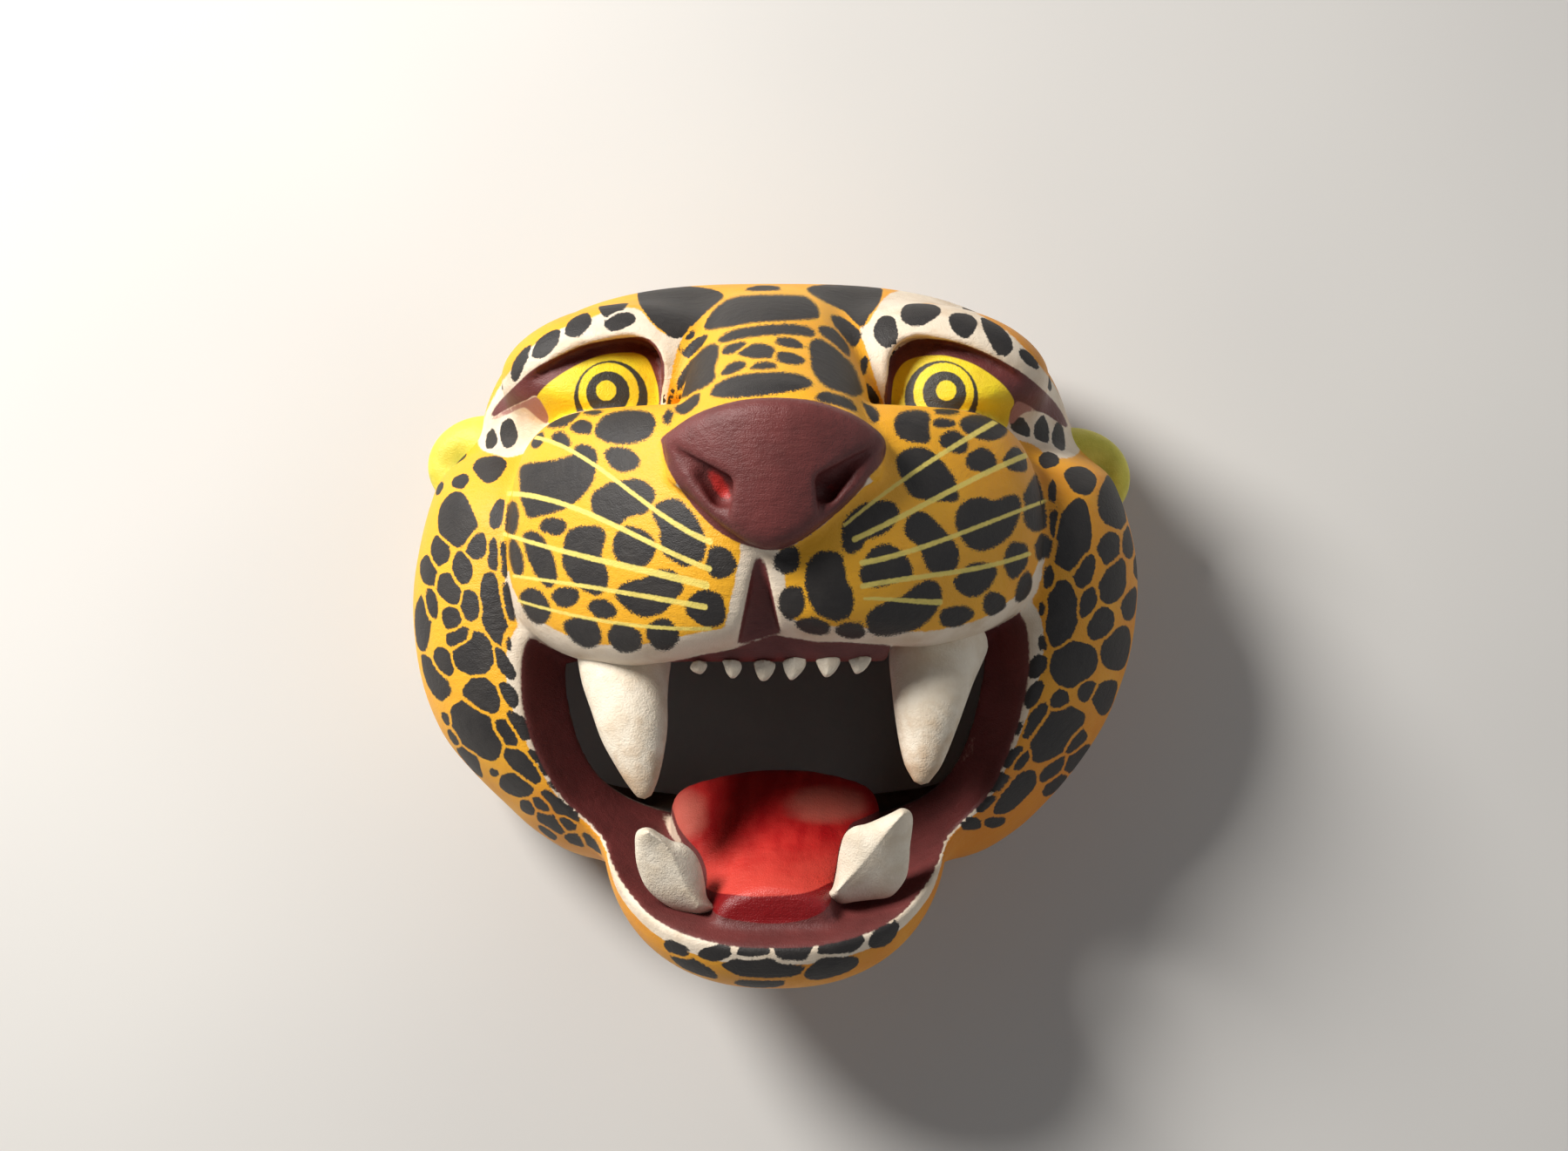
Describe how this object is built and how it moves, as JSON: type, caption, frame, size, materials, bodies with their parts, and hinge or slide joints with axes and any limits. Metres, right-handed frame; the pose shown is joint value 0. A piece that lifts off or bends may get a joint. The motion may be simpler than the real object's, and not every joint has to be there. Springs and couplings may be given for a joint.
{
  "type": "carved wooden tiger mask",
  "caption": "Carved and painted wooden tiger mask with a spotted coat, a roaring mouth with let-in fangs, and a hollow for the wearer's face, lying on its back rim.",
  "frame": {"origin": "middle of the mask's outline on the surface it lies on, level with the flat back rim", "axes": "+Z out of the face, +Y towards the crown, +X towards the mask's own left ear"},
  "size_m": [0.3009, 0.2984, 0.213],
  "materials": {
    "painted_wood": "hand-painted in orange yellow with black spots, cream borders and maroon lips, satin",
    "cream_fangs": "cream paint worn thin over the grain, matt",
    "lemon_ears": "lemon yellow paint, satin"
  },
  "bodies": {
    "root": {"head": "painted_wood", "upper_fang_left": "cream_fangs", "upper_fang_right": "cream_fangs", "lower_fang_left": "cream_fangs", "lower_fang_right": "cream_fangs", "ear_left": "lemon_ears", "ear_right": "lemon_ears"}
  },
  "joints": []
}
